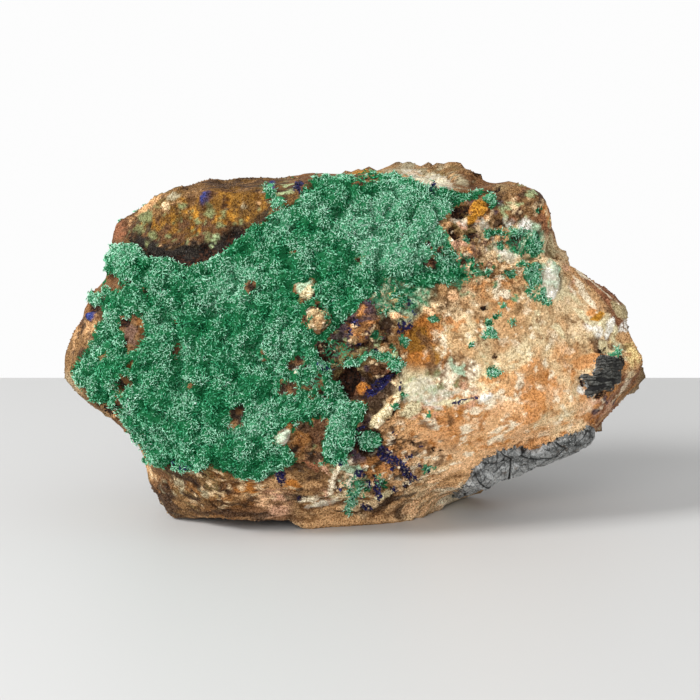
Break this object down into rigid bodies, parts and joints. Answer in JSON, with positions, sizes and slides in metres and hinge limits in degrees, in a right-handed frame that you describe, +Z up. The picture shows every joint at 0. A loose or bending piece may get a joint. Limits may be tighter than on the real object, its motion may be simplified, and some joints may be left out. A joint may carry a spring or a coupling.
{
  "type": "malachite and azurite mineral specimen",
  "caption": "Broken lump of iron-stained quartz rock with a rough green malachite crust, dark sulphide and small blue azurite crystals, resting on a flat broken base.",
  "frame": {"origin": "centre of the bounding box in plan, on the flat base", "axes": "+X to the right along the specimen's length, -Y out of the green face, +Z up"},
  "size_m": [0.1162, 0.066, 0.0699],
  "materials": {
    "mineral": "rough, fine velvety green crust over granular tan rock"
  },
  "bodies": {
    "root": {"azurite_specimen": "mineral"}
  },
  "joints": []
}
